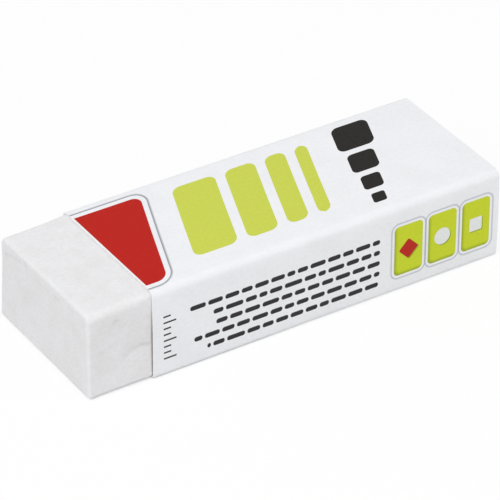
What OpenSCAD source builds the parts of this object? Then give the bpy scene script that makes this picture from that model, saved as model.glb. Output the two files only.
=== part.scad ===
// Block eraser in an open card sleeve.
// The long axis is X, with the bare end of the block at -X. The sleeve's glued seam is on its +Y side.
// The origin is below the middle of the whole eraser, on the surface that it lies on.

/* [Block] */
// Length of the rubber block
block_l = 63; // [50:0.5:80]
// Width of the block
block_w = 22.2; // [15:0.1:30]
// Height of the block
block_h = 12.6; // [9:0.1:18]
// Radius of the two long top edges
top_edge_r = 1.1; // [1:0.1:3]
// Radius of the long bottom edges and of the edges round both cut ends
cut_edge_r = 0.45; // [0.2:0.05:0.7]

/* [Sleeve] */
// Thickness of the card
card_t = 0.25; // [0.2:0.05:0.5]
// Inner radius of the two top folds
top_fold_r = 1; // [0.4:0.1:1.6]
// Inner radius of the two bottom folds
bottom_fold_r = 0.5; // [0.2:0.05:0.6]
// Height of the glue tab, from the fold that it stands on
tab_h = 8.5; // [4:0.5:9]
// Length that each end of the tab's free edge is cut back
tab_cut = 3; // [0:0.5:6]
// Height of the outer panel's cut edge above the tab's fold
seam_step = 0.35; // [0.1:0.05:1]

/* [Fit] */
// Clearance between the block and the card on every side
slide_gap = 0.05; // [0.04:0.01:0.2]
// Length of the block that stands out of the sleeve's mouth
block_out = 9.4; // [2:0.1:20]

/* [Hidden] */
$fn = 64;

// The card wraps the block once, and twice on the seam side
sleeve_w = block_w + 2 * slide_gap + 3 * card_t;
sleeve_h = block_h + 2 * slide_gap + 2 * card_t;
// The sleeve's far end is level with the block's
sleeve_l = block_l - block_out;
tip_x = -block_l / 2;
mouth_x = tip_x + block_out;
// The tab's layer moves the block away from the seam side
block_y = -card_t / 2;
block_z = card_t + slide_gap;
// A fold is hardly rounder than the edge of the block that it wraps, so it stays clear of it
top_r = min(top_fold_r, top_edge_r + slide_gap);
bottom_r = min(bottom_fold_r, cut_edge_r + 2 * slide_gap);
// Faces of the card, as distances from the middle plane and from the ground
near_in_y = -sleeve_w / 2 + card_t;
far_in_y = sleeve_w / 2 - card_t;
tab_in_y = far_in_y - card_t;
top_in_z = sleeve_h - card_t;
tab_root_z = card_t + bottom_r;
seam_z = tab_root_z + seam_step;
// The tab keeps its full length up to here, a card's thickness above the seam
tab_square_z = seam_z + card_t;
tab_top_z = min(tab_root_z + tab_h, top_in_z - top_r);

// Stands a drawing of the section up along +X: its x becomes Y and its y becomes Z
module along_x(length) {
    rotate([90, 0, 90])
        linear_extrude(height = length)
            children();
}

// Rectangle from y0 to y1 and from z0 to z1, with its own corner radius at the bottom and at the top
module panel_outline(y0, y1, z0, z1, low_r, high_r) {
    translate([y0, z0 + low_r])
        square([y1 - y0, z1 - z0 - low_r - high_r]);
    corner_pair(y0, y1, z0 + low_r, low_r);
    corner_pair(y0, y1, z1 - high_r, high_r);
}

// Two round corners of radius r with their centres at the height z, and the strip between them
module corner_pair(y0, y1, z, r) {
    if (r > 0) {
        for (y = [y0 + r, y1 - r])
            translate([y, z])
                circle(r = r);
        translate([y0 + r, z - r])
            square([y1 - y0 - 2 * r, 2 * r]);
    }
}

// Section of the block, drawn smaller by inset on every side
module block_section(inset) {
    half_w = block_w / 2 - inset;
    panel_outline(-half_w, half_w, inset, block_h - inset, cut_edge_r - inset, top_edge_r - inset);
}

// The rounded edge round a cut end, centred on the plane where the rounding starts
module cut_end_edge() {
    half_w = block_w / 2 - cut_edge_r;
    high_z = block_h - cut_edge_r;
    side_h = block_h - top_edge_r - cut_edge_r;
    ring_r = top_edge_r - cut_edge_r;
    for (side = [-1, 1]) {
        translate([0, side * half_w, cut_edge_r])
            cylinder(r = cut_edge_r, h = side_h);
        translate([0, side * half_w, cut_edge_r])
            sphere(r = cut_edge_r);
        translate([0, side * (block_w / 2 - top_edge_r), block_h - top_edge_r])
            rotate([0, 90, 0])
                rotate_extrude()
                    translate([ring_r, 0])
                        circle(r = cut_edge_r);
    }
    translate([0, half_w, cut_edge_r])
        rotate([90, 0, 0])
            cylinder(r = cut_edge_r, h = 2 * half_w);
    translate([0, block_w / 2 - top_edge_r, high_z])
        rotate([90, 0, 0])
            cylinder(r = cut_edge_r, h = block_w - 2 * top_edge_r);
}

// Solid rubber block with round long edges on top and two cut ends
module eraser_block() {
    color("whitesmoke")
        translate([tip_x, block_y, block_z]) {
            translate([cut_edge_r, 0, 0])
                along_x(block_l - 2 * cut_edge_r)
                    block_section(0);
            along_x(block_l)
                block_section(cut_edge_r);
            for (x = [cut_edge_r, block_l - cut_edge_r])
                translate([x, 0, 0])
                    cut_end_edge();
        }
}

// Section of the sleeve. The outer panels and the tab's layer are drawn solid, then the space inside is cut out.
module sleeve_section() {
    half_w = sleeve_w / 2;
    mid_z = sleeve_h / 2;
    difference() {
        union() {
            // Top, near side, and the far side panel that ends in a cut edge at the seam
            panel_outline(-half_w, half_w, seam_z, sleeve_h, 0, top_r + card_t);
            // Bottom, with the fold that the tab stands on
            panel_outline(-half_w, far_in_y, 0, mid_z, bottom_r + card_t, 0);
        }
        panel_outline(near_in_y, far_in_y, tab_square_z, top_in_z, 0, top_r);
        panel_outline(near_in_y, tab_in_y, card_t, mid_z, bottom_r, 0);
    }
}

// Glue tab against the far side panel, with its ends cut back so that they stay out of sight
module glue_tab() {
    translate([mouth_x, far_in_y + card_t / 2, 0])
        rotate([90, 0, 0])
            linear_extrude(height = 1.5 * card_t)
                polygon([
                    [0, seam_z],
                    [sleeve_l, seam_z],
                    [sleeve_l, tab_square_z],
                    [sleeve_l - tab_cut, tab_top_z],
                    [tab_cut, tab_top_z],
                    [0, tab_square_z]
                ]);
}

// One strip of card, folded round the block and glued to itself along the far side
module card_sleeve() {
    color("ghostwhite") {
        translate([mouth_x, 0, 0])
            along_x(sleeve_l)
                sleeve_section();
        glue_tab();
    }
}

eraser_block();
card_sleeve();
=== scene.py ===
"""The look of a block eraser in its card sleeve: both pieces, their finishes, the light and the camera."""

import logging
import math
from collections.abc import Callable, Iterable
from dataclasses import dataclass, field, replace
from enum import Enum, IntEnum

import bmesh
import bpy
import numpy as np
from mathutils import Matrix, Vector, noise


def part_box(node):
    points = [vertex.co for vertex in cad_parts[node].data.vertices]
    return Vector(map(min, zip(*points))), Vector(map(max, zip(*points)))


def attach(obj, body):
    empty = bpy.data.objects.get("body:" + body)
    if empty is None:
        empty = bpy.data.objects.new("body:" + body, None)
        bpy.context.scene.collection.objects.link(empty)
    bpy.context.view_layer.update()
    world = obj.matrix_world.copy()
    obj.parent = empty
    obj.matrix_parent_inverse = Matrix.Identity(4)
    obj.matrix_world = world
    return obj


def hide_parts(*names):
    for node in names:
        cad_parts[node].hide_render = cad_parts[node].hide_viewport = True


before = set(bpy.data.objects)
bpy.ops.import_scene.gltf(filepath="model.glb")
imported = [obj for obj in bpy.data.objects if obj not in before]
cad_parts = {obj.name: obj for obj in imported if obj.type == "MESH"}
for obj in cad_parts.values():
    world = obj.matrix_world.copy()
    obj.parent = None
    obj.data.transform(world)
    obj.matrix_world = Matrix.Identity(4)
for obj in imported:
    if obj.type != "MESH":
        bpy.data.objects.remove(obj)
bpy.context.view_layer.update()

MM = 0.001
BLANK_MAP = "card_blank_mm"
NICK_LAYER = "nick"
NODE_SPACING = 180
PLAIN_WHITE = (1.0, 1.0, 1.0, 1.0)
# Half the width of the soft edge of the ink, in millimetres
INK_EDGE = 0.03
# The greatest angle between two faces that are shaded as one
SMOOTH_DEG = 40
# Where the block's near side and top lie, in millimetres
NEAR_SIDE_Y = -11.2
TOP_Z = 12.9

Rgb = tuple[int, int, int]
Triple = tuple[float, float, float]
Socket = bpy.types.NodeSocket

log = logging.getLogger("eraser")


def paint(seen: Rgb) -> tuple[float, float, float, float]:
    """Turns a colour as the eye sees it into the linear colour that a shader takes.

    Args:
        seen: red, green and blue, each from 0 to 255.

    Returns:
        The linear colour, with an alpha of 1.
    """
    linear = []
    for step in seen:
        share = step / 255
        linear.append(share / 12.92 if share <= 0.04045 else ((share + 0.055) / 1.055) ** 2.4)
    return (*linear, 1.0)


def smooth_step(value: np.ndarray, low: float, high: float) -> np.ndarray:
    """Rises smoothly from 0 at low to 1 at high.

    Args:
        value: the numbers to map.
        low: where the rise starts.
        high: where the rise ends.

    Returns:
        The mapped numbers, from 0 to 1.
    """
    share = np.clip((value - low) / (high - low), 0, 1)
    return share * share * (3 - 2 * share)


@dataclass(frozen=True)
class Ripple:
    """A smooth random unevenness.

    Attributes:
        period: the size of its waves in millimetres.
        depth: how far they go up and down, in millimetres.
        seed: an offset that gives another pattern.
    """

    period: float
    depth: float
    seed: float

    def heights(self, places: np.ndarray) -> np.ndarray:
        """Works out how high the ripple is at each place.

        Args:
            places: one row of x, y and z for each point, in millimetres.

        Returns:
            One height for each point, in millimetres.
        """
        offset = Vector((self.seed, self.seed, self.seed))
        waves = [noise.noise(Vector(place) / self.period + offset) for place in places]
        return self.depth * np.array(waves)


class NodeSheet:
    """The nodes of one material, laid out from left to right as they are added."""

    def __init__(self, tree: bpy.types.NodeTree) -> None:
        """Clears a node tree and takes it over.

        Args:
            tree: the node tree of a material, a light or the world.
        """
        self.nodes = tree.nodes
        self.links = tree.links
        self.nodes.clear()

    def feed(self, socket: Socket, value: object) -> None:
        """Gives an input either a link or a plain value.

        Args:
            socket: the input.
            value: an output to link to it, or the value to set.
        """
        if isinstance(value, bpy.types.NodeSocket):
            self.links.new(value, socket)
        else:
            socket.default_value = value

    def add(self, kind: str, inputs: dict[str | int, object] | None = None,
            **settings: object) -> bpy.types.Node:
        """Adds a node.

        Args:
            kind: Blender's name of the node type.
            inputs: values or outputs for its inputs, by name or number.
            settings: the node's own properties.

        Returns:
            The new node.
        """
        node = self.nodes.new(kind)
        node.location = (NODE_SPACING * len(self.nodes), 0)
        for name, value in settings.items():
            setattr(node, name, value)
        for key, value in (inputs or {}).items():
            self.feed(node.inputs[key], value)
        return node

    def calc(self, operation: str, first: object, second: object = 0.0, clamp: bool = False) -> Socket:
        """Works out one number from two.

        Args:
            operation: the name of the sum, such as MULTIPLY.
            first: the first number or output.
            second: the second number or output.
            clamp: whether the result stays from 0 to 1.

        Returns:
            The result's output.
        """
        node = self.add("ShaderNodeMath", {0: first, 1: second}, operation=operation, use_clamp=clamp)
        return node.outputs[0]

    def calc_vector(self, operation: str, first: object, second: object = (0.0, 0.0, 0.0)) -> Socket:
        """Works out one vector, or a length, from two vectors.

        Args:
            operation: the name of the sum, such as ADD or LENGTH.
            first: the first vector or output.
            second: the second vector or output.

        Returns:
            The result's output.
        """
        node = self.add("ShaderNodeVectorMath", {0: first, 1: second}, operation=operation)
        return node.outputs["Value" if operation in ("LENGTH", "DOT_PRODUCT") else "Vector"]

    def rise(self, value: Socket, low: float, high: float, start: object = 0.0,
             end: object = 1.0) -> Socket:
        """Maps a number smoothly, from start at low to end at high.

        Args:
            value: the number's output.
            low: the value that gives start.
            high: the value that gives end.
            start: the result at and below low.
            end: the result at and above high.

        Returns:
            The result's output.
        """
        inputs = {0: value, 1: low, 2: high, 3: start, 4: end}
        return self.add("ShaderNodeMapRange", inputs, interpolation_type="SMOOTHSTEP").outputs[0]

    def blend(self, share: object, first: object, second: object) -> Socket:
        """Mixes two colours.

        Args:
            share: how much of the second colour shows.
            first: the first colour or output.
            second: the second colour or output.

        Returns:
            The mixed colour's output.
        """
        inputs = {0: share, 6: first, 7: second}
        return self.add("ShaderNodeMix", inputs, data_type="RGBA").outputs[2]

    def dim(self, colour: Socket, share: Socket) -> Socket:
        """Darkens a colour.

        Args:
            colour: the colour's output.
            share: how much of it is left, from 0 to 1.

        Returns:
            The darkened colour's output.
        """
        node = self.add("ShaderNodeVectorMath", {0: colour, "Scale": share}, operation="SCALE")
        return node.outputs["Vector"]

    def cloud(self, place: Socket, period: float, detail: float = 2.0,
              stretch: Triple = (1, 1, 1)) -> Socket:
        """Adds soft random noise.

        Args:
            place: the place on the piece, in millimetres.
            period: the size of the blotches in millimetres.
            detail: how many finer layers lie over the blotches.
            stretch: how much longer the blotches are along each axis.

        Returns:
            The noise's output, from 0 to 1.
        """
        scale = tuple(1 / (period * longer) for longer in stretch)
        scaled = self.calc_vector("MULTIPLY", place, scale)
        return self.add("ShaderNodeTexNoise", {"Vector": scaled, "Scale": 1.0, "Detail": detail}).outputs[0]

    def bump(self, height: Socket, depth: float, under: Socket | None = None) -> Socket:
        """Turns a height pattern into relief.

        Args:
            height: the pattern, from 0 to 1.
            depth: how deep the relief is, in millimetres.
            under: the relief that this one lies on.

        Returns:
            The normal's output.
        """
        inputs = {"Height": height, "Distance": depth * MM, "Strength": 1.0}
        if under is not None:
            inputs["Normal"] = under
        return self.add("ShaderNodeBump", inputs).outputs[0]

    def place_mm(self) -> Socket:
        """Gives the place on the piece in millimetres."""
        place = self.add("ShaderNodeTexCoord").outputs["Object"]
        return self.calc_vector("MULTIPLY", place, (1 / MM, 1 / MM, 1 / MM))

    def surface(self, inputs: dict[str | int, object]) -> None:
        """Ends the material in one principled surface.

        Args:
            inputs: values or outputs for the surface's inputs.
        """
        shader = self.add("ShaderNodeBsdfPrincipled", inputs)
        output = self.add("ShaderNodeOutputMaterial")
        self.links.new(shader.outputs[0], output.inputs["Surface"])


def new_material(name: str) -> tuple[bpy.types.Material, NodeSheet]:
    """Makes an empty material.

    Args:
        name: the material's name.

    Returns:
        The material and the sheet for its nodes.
    """
    material = bpy.data.materials.new(name)
    material.use_nodes = True
    return material, NodeSheet(material.node_tree)


@dataclass(frozen=True)
class Mottle:
    """A soft random pattern that runs between two values.

    Attributes:
        period: the size of its blotches in millimetres.
        detail: how many finer layers lie over the blotches.
        start: the value where the noise is low.
        end: the value where the noise is high.
        low: the noise at and below which the value is start.
        high: the noise from which it is end.
    """

    period: float
    detail: float
    start: float = 0.0
    end: float = 1.0
    low: float = 0.35
    high: float = 0.7

    def lay(self, sheet: NodeSheet, place: Socket) -> Socket:
        """Adds the pattern to a material.

        Args:
            sheet: the material's nodes.
            place: the place on the piece, in millimetres.

        Returns:
            The pattern's output.
        """
        cloud = sheet.cloud(place, self.period, self.detail)
        return sheet.rise(cloud, self.low, self.high, self.start, self.end)


@dataclass(frozen=True)
class Relief:
    """One layer of small random relief.

    Attributes:
        period: the size of its bumps in millimetres.
        depth: how deep it is, in millimetres.
        detail: how many finer layers lie over the bumps.
        stretch: how much longer the bumps are along each axis.
    """

    period: float
    depth: float
    detail: float = 2.0
    stretch: Triple = (1, 1, 1)

    def lay(self, sheet: NodeSheet, place: Socket, under: Socket | None = None,
            share: Socket | None = None) -> Socket:
        """Adds the layer to a material.

        Args:
            sheet: the material's nodes.
            place: the place on the piece, in millimetres.
            under: the relief that this one lies on.
            share: how much of the layer shows, from 0 to 1.

        Returns:
            The normal's output.
        """
        height = sheet.cloud(place, self.period, self.detail, self.stretch)
        if share is not None:
            height = sheet.calc("MULTIPLY", height, share)
        return sheet.bump(height, self.depth, under)


@dataclass(frozen=True)
class InkShape:
    """A rectangle of print with rounded corners, in millimetres on the card blank.

    Attributes:
        along: distance of its middle from the mouth.
        across: distance of its middle from the middle of the top panel.
        length: its size away from the mouth.
        width: its size across the panel.
        corner: the radius of its corners.
        turn_deg: how far it is turned to the left.
    """

    along: float
    across: float
    length: float
    width: float
    corner: float
    turn_deg: float = 0.0

    def distance(self, sheet: NodeSheet, place: Socket) -> Socket:
        """Measures how far each place lies outside the shape's edge.

        Args:
            sheet: the material's nodes.
            place: the place on the blank, in millimetres.

        Returns:
            The distance's output, which is minus the corner radius deep inside.
        """
        local = self.local(sheet, place)
        half = (self.length / 2 - self.corner, self.width / 2 - self.corner, 1.0)
        beyond = sheet.calc_vector("SUBTRACT", sheet.calc_vector("ABSOLUTE", local), half)
        outside = sheet.calc_vector("MAXIMUM", beyond, (0.0, 0.0, 0.0))
        return sheet.calc("SUBTRACT", sheet.calc_vector("LENGTH", outside), self.corner)

    def local(self, sheet: NodeSheet, place: Socket) -> Socket:
        """Gives the place as the shape itself sees it, with its middle at zero and its length along x.

        Args:
            sheet: the material's nodes.
            place: the place on the blank, in millimetres.

        Returns:
            The output of the place in the shape's own frame.
        """
        inputs = {"Vector": place, "Location": (self.along, self.across, 0.0)}
        inputs["Rotation"] = (0.0, 0.0, math.radians(self.turn_deg))
        return sheet.add("ShaderNodeMapping", inputs, vector_type="TEXTURE").outputs[0]

    def mask(self, sheet: NodeSheet, place: Socket, blur: float = 0.04) -> Socket:
        """Gives 1 inside the shape and 0 outside it.

        Args:
            sheet: the material's nodes.
            place: the place on the blank, in millimetres.
            blur: the width of the soft edge in millimetres.

        Returns:
            The mask's output.
        """
        return sheet.rise(self.distance(sheet, place), -blur / 2, blur / 2, 1.0, 0.0)


@dataclass(frozen=True)
class TopPrint:
    """The fields of colour on the sleeve's top panel, all leaning by one slant.

    Sizes are in millimetres.

    Attributes:
        slant_deg: how far the fields lean away from the mouth on the far side.
        field_depth: how deep the red field at the mouth is.
        field_width: the red field's size across the panel.
        field_across: how far its middle lies to the far side of the panel's middle.
        field_corner: the radius of its corners.
        overhang: how far its shape goes on past the mouth, where the card's edge cuts it off.
        margin: width of the strip along the mouth that the red field leaves white.
        line_gap: white gap between the red field and the grey line round it.
        line_full: distance from that gap to where the line is fully grey.
        line_fading: distance from the gap to where the line starts to fade.
        line_end: distance from the gap to where it has faded away.
        stripe_start: distance of the first lime stripe from the mouth.
        stripe_widths: widths of the lime stripes, from the mouth on.
        stripe_gap: white gap between two stripes.
        stripe_length: the stripes' size across the panel.
        stripe_across: how far their middles lie to the far side of the panel's middle.
        stripe_corner: the radius of their corners.
        square_place: distance of the row of black squares from the mouth.
        square_start: the far edge of the first square, across the panel.
        square_sizes: sizes of the black squares, from the far side to the near side.
        square_gap: white gap between two squares.
        square_rounding: the radius of a square's corners as a share of its size.
        red: the colour of the field.
        lime: the colour of the stripes.
        black: the colour of the squares.
        grey: the colour of the line.
    """

    slant_deg: float = 20.0
    field_depth: float = 6.9
    field_width: float = 18.6
    field_across: float = -0.4
    field_corner: float = 1.5
    overhang: float = 10.0
    margin: float = 0.2
    line_gap: float = 0.7
    line_full: float = 0.06
    line_fading: float = 0.08
    line_end: float = 0.5
    stripe_start: float = 11.5
    stripe_widths: tuple[float, ...] = (6.6, 4.7, 3.2, 2.0)
    stripe_gap: float = 1.5
    stripe_length: float = 15.6
    stripe_across: float = 0.4
    stripe_corner: float = 1.3
    square_place: float = 39.6
    square_start: float = 9.4
    square_sizes: tuple[float, ...] = (5.8, 4.3, 3.1, 2.1)
    square_gap: float = 1.1
    square_rounding: float = 0.2
    red: Rgb = (191, 20, 3)
    lime: Rgb = (208, 218, 84)
    black: Rgb = (24, 20, 16)
    grey: Rgb = (150, 154, 162)

    def stripes(self) -> Iterable[InkShape]:
        """Works out the lime stripes.

        Returns:
            The stripes, from the mouth on.
        """
        start = self.stripe_start
        for width in self.stripe_widths:
            middle = start + width / 2
            yield InkShape(middle, self.stripe_across, width, self.stripe_length, self.stripe_corner)
            start += width + self.stripe_gap

    def squares(self) -> Iterable[InkShape]:
        """Works out the black squares.

        Returns:
            The squares, from the far side to the near side.
        """
        start = self.square_start
        for size in self.square_sizes:
            corner = size * self.square_rounding
            yield InkShape(self.square_place, start - size / 2, size, size, corner)
            start -= size + self.square_gap

    def lay(self, sheet: NodeSheet, place: Socket, colour: Socket) -> Socket:
        """Prints the fields over a colour.

        Args:
            sheet: the material's nodes.
            place: the place on the blank, in millimetres.
            colour: the colour that is printed on.

        Returns:
            The printed colour's output.
        """
        lean = math.tan(math.radians(self.slant_deg))
        along = sheet.calc_vector("DOT_PRODUCT", place, (1.0, -lean, 0.0))
        across = sheet.add("ShaderNodeSeparateXYZ", {0: place}).outputs["Y"]
        leaning = sheet.add("ShaderNodeCombineXYZ", {"X": along, "Y": across}).outputs[0]

        length = self.field_depth + self.overhang
        middle = self.field_depth - length / 2
        red_field = InkShape(middle, self.field_across, length, self.field_width, self.field_corner)
        gap = red_field.distance(sheet, leaning)
        inner = sheet.rise(gap, self.line_gap, self.line_gap + self.line_full)
        outer = sheet.rise(gap, self.line_gap + self.line_fading, self.line_gap + self.line_end, 1.0, 0.0)
        colour = sheet.blend(sheet.calc("MULTIPLY", inner, outer), colour, paint(self.grey))
        from_mouth = sheet.add("ShaderNodeSeparateXYZ", {0: place}).outputs["X"]
        printed = sheet.rise(from_mouth, self.margin - INK_EDGE, self.margin + INK_EDGE)
        printed = sheet.calc("MULTIPLY", printed, sheet.rise(gap, -INK_EDGE, INK_EDGE, 1.0, 0.0))
        colour = sheet.blend(printed, colour, paint(self.red))
        for stripe in self.stripes():
            colour = sheet.blend(stripe.mask(sheet, leaning), colour, paint(self.lime))
        for square in self.squares():
            colour = sheet.blend(square.mask(sheet, leaning), colour, paint(self.black))
        return colour


@dataclass(frozen=True)
class SidePrint:
    """The print on the sleeve's near side: a tick scale, rows of word-like bars and three lime tiles.

    Places are in millimetres, with the height measured up from the table.

    Attributes:
        fold_to_table: distance on the blank from the top panel's middle to the height of the table.
        tick_start: distance of the ticks from the mouth.
        tick_length: the length of a short tick.
        long_tick_length: the length of a long tick.
        long_every: every so many ticks one is long.
        tick_low: height of the lowest tick.
        tick_pitch: distance from one tick to the next.
        ticks: how many ticks the scale has.
        tick_line: the thickness of a tick.
        rows: how many rows of bars there are.
        row_low: height of the lowest row's middle.
        row_pitch: distance from one row to the next.
        row_start: the least distance of a row from the mouth.
        row_end: distance from the mouth at which all rows end.
        row_shift: how far the pattern of bars moves from one row to the next, in average bars.
        ragged: how much later than row_start a row may start.
        word: length of an average bar with its gap.
        word_gap: the gap between two bars.
        variety: how much the bars differ in length, from 0 to 1.
        bar_height: the thickness of a bar.
        bar_flat: half the flat part of a bar's end.
        bar_blur: half the width of a bar's soft edge.
        tile_starts: distance of each tile's near edge from the mouth.
        tile_length: a tile's size away from the mouth.
        tile_low: height of the tiles' lower edges.
        tile_height: a tile's height.
        tile_corner: the radius of its corners.
        tile_border: width of the white border round it.
        line_start: how far inside the border's outer edge the thin line starts.
        line_fading: distance from that edge to where the line starts to fade.
        line_end: distance from the edge to where it has faded away.
        line_strength: how strongly the line is printed, from 0 to 1.
        shade_shift: how far the shade inside a tile is moved up and away from the mouth.
        shade_blur: how much further than that it fades.
        shade_strength: how strongly the shade is printed, from 0 to 1.
        diamond_size: the length of the diamond's sides.
        diamond_corner: the radius of its corners.
        disc_size: the width of the disc.
        disc_corner: the radius of its corners, which leaves hardly any straight side.
        square_size: the length of the square's sides.
        square_corner: the radius of its corners.
        shadow_shift: how far a motif's shadow lies down and away from the mouth.
        shadow_blur: the width of the shadow's soft edge.
        lime: the colour of the tiles.
        lime_shade: the colour of the shade inside them.
        red: the colour of the diamond.
        dark: the colour of the ticks and bars.
        line_grey: the colour of the line round each tile.
        white: the colour of the disc and the square.
    """

    fold_to_table: float
    tick_start: float = 1.5
    tick_length: float = 1.1
    long_tick_length: float = 1.9
    long_every: float = 3.0
    tick_low: float = 2.7
    tick_pitch: float = 0.9
    ticks: int = 8
    tick_line: float = 0.24
    rows: int = 5
    row_low: float = 2.3
    row_pitch: float = 1.62
    row_start: float = 5.4
    row_end: float = 34.6
    row_shift: float = 17.37
    ragged: float = 4.5
    word: float = 2.3
    word_gap: float = 0.36
    variety: float = 0.75
    bar_height: float = 0.7
    bar_flat: float = 0.02
    bar_blur: float = 0.04
    tile_starts: tuple[float, ...] = (36.9, 42.3, 47.7)
    tile_length: float = 4.5
    tile_low: float = 2.5
    tile_height: float = 7.5
    tile_corner: float = 0.7
    tile_border: float = 0.36
    line_start: float = 0.05
    line_fading: float = 0.06
    line_end: float = 0.34
    line_strength: float = 0.6
    shade_shift: float = 0.3
    shade_blur: float = 0.1
    shade_strength: float = 0.8
    diamond_size: float = 2.2
    diamond_corner: float = 0.25
    disc_size: float = 2.5
    disc_corner: float = 1.24
    square_size: float = 2.0
    square_corner: float = 0.2
    shadow_shift: float = 0.14
    shadow_blur: float = 0.25
    lime: Rgb = (207, 221, 50)
    lime_shade: Rgb = (140, 158, 40)
    red: Rgb = (190, 42, 32)
    dark: Rgb = (52, 50, 54)
    line_grey: Rgb = (158, 162, 180)
    white: Rgb = (238, 240, 238)

    def lay(self, sheet: NodeSheet, place: Socket, colour: Socket) -> Socket:
        """Prints the near side over a colour.

        Args:
            sheet: the material's nodes.
            place: the place on the blank, in millimetres.
            colour: the colour that is printed on.

        Returns:
            The printed colour's output.
        """
        raised = sheet.calc_vector("ADD", place, (0.0, self.fold_to_table, 0.0))
        parts = sheet.add("ShaderNodeSeparateXYZ", {0: raised})
        along, height = parts.outputs["X"], parts.outputs["Y"]
        colour = sheet.blend(self._ticks(sheet, along, height), colour, paint(self.dark))
        colour = sheet.blend(self._words(sheet, along, height), colour, paint(self.dark))
        for start in self.tile_starts:
            colour = self._tile(sheet, raised, colour, start)
        return self._motifs(sheet, raised, colour)

    def _row_of(self, sheet: NodeSheet, height: Socket, low: float, pitch: float) -> tuple[Socket, Socket]:
        """Tells rows apart.

        Args:
            sheet: the material's nodes.
            height: the height above the table.
            low: the height of the lowest row's middle.
            pitch: the distance from one row to the next.

        Returns:
            The row's number, and the distance from the row's middle in millimetres.
        """
        steps = sheet.calc("DIVIDE", sheet.calc("SUBTRACT", height, low), pitch)
        row = sheet.calc("ROUND", steps)
        off = sheet.calc("MULTIPLY", sheet.calc("SUBTRACT", steps, row), pitch)
        return row, sheet.calc("ABSOLUTE", off)

    def _between(self, sheet: NodeSheet, value: Socket, low: object, high: object) -> Socket:
        """Gives 1 where a value lies between two bounds, and 0 elsewhere."""
        above = sheet.calc("GREATER_THAN", value, low)
        return sheet.calc("MULTIPLY", above, sheet.calc("LESS_THAN", value, high))

    def _ticks(self, sheet: NodeSheet, along: Socket, height: Socket) -> Socket:
        """Draws the scale of ticks near the mouth, with every third tick longer.

        Args:
            sheet: the material's nodes.
            along: the distance from the mouth.
            height: the height above the table.

        Returns:
            The output that is 1 on a tick and 0 elsewhere.
        """
        row, off = self._row_of(sheet, height, self.tick_low, self.tick_pitch)
        half_line = self.tick_line / 2
        line = sheet.rise(off, half_line - INK_EDGE, half_line + INK_EDGE, 1.0, 0.0)
        longer = sheet.calc("COMPARE", sheet.calc("FLOORED_MODULO", row, self.long_every), 0.0)
        extra = sheet.calc("MULTIPLY", longer, self.long_tick_length - self.tick_length)
        end = sheet.calc("ADD", extra, self.tick_start + self.tick_length)
        inside = self._between(sheet, along, self.tick_start, end)
        counted = self._between(sheet, row, -0.5, self.ticks - 0.5)
        return sheet.calc("MULTIPLY", line, sheet.calc("MULTIPLY", inside, counted))

    def _words(self, sheet: NodeSheet, along: Socket, height: Socket) -> Socket:
        """Draws the rows of bars, whose lengths and starts differ from row to row.

        Args:
            sheet: the material's nodes.
            along: the distance from the mouth.
            height: the height above the table.

        Returns:
            The output that is 1 on a bar and 0 elsewhere.
        """
        row, off = self._row_of(sheet, height, self.row_low, self.row_pitch)
        words = sheet.calc("DIVIDE", along, self.word)
        shifted = sheet.calc("ADD", words, sheet.calc("MULTIPLY", row, self.row_shift))
        cells = sheet.add("ShaderNodeTexVoronoi", {"W": shifted, "Scale": 1.0, "Randomness": self.variety},
                          voronoi_dimensions="1D", feature="DISTANCE_TO_EDGE")
        to_next = sheet.calc("MULTIPLY", cells.outputs[0], self.word)
        to_gap = sheet.calc("SUBTRACT", to_next, self.word_gap / 2)
        chance = sheet.add("ShaderNodeTexWhiteNoise", {"W": row}, noise_dimensions="1D").outputs[0]
        start = sheet.calc("ADD", sheet.calc("MULTIPLY", chance, self.ragged), self.row_start)
        to_start = sheet.calc("SUBTRACT", along, start)
        to_end = sheet.calc("SUBTRACT", self.row_end, along)
        to_gap = sheet.calc("MINIMUM", to_gap, sheet.calc("MINIMUM", to_start, to_end))
        corner = self.bar_height / 2 - self.bar_flat
        end_on = sheet.calc("MAXIMUM", sheet.calc("SUBTRACT", corner, to_gap), 0.0)
        side_on = sheet.calc("MAXIMUM", sheet.calc("SUBTRACT", off, self.bar_flat), 0.0)
        reach = sheet.calc("SQRT", sheet.calc("ADD", sheet.calc("MULTIPLY", end_on, end_on),
                                              sheet.calc("MULTIPLY", side_on, side_on)))
        bars = sheet.rise(reach, corner - self.bar_blur, corner + self.bar_blur, 1.0, 0.0)
        return sheet.calc("MULTIPLY", bars, self._between(sheet, row, -0.5, self.rows - 0.5))

    def _tile(self, sheet: NodeSheet, raised: Socket, colour: Socket, start: float) -> Socket:
        """Prints one lime tile with a white border, a thin line round it and a shaded inner edge.

        Args:
            sheet: the material's nodes.
            raised: the place on the blank, with its height measured from the table.
            colour: the colour that is printed on.
            start: distance of the tile's near edge from the mouth.

        Returns:
            The printed colour's output.
        """
        middle = start + self.tile_length / 2
        level = self.tile_low + self.tile_height / 2
        tile = InkShape(middle, level, self.tile_length, self.tile_height, self.tile_corner)
        gap = tile.distance(sheet, raised)
        border = self.tile_border
        inner = sheet.rise(gap, border - self.line_start, border + INK_EDGE)
        outer = sheet.rise(gap, border + self.line_fading, border + self.line_end, 1.0, 0.0)
        line = sheet.calc("MULTIPLY", sheet.calc("MULTIPLY", inner, outer), self.line_strength)
        colour = sheet.blend(line, colour, paint(self.line_grey))
        lit = replace(tile, along=middle + self.shade_shift, across=level + self.shade_shift)
        shade = sheet.rise(lit.distance(sheet, raised), -self.tile_corner / 2,
                           self.shade_shift + self.shade_blur, 0.0, self.shade_strength)
        lime = sheet.blend(shade, paint(self.lime), paint(self.lime_shade))
        return sheet.blend(sheet.rise(gap, -INK_EDGE, INK_EDGE, 1.0, 0.0), colour, lime)

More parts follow.
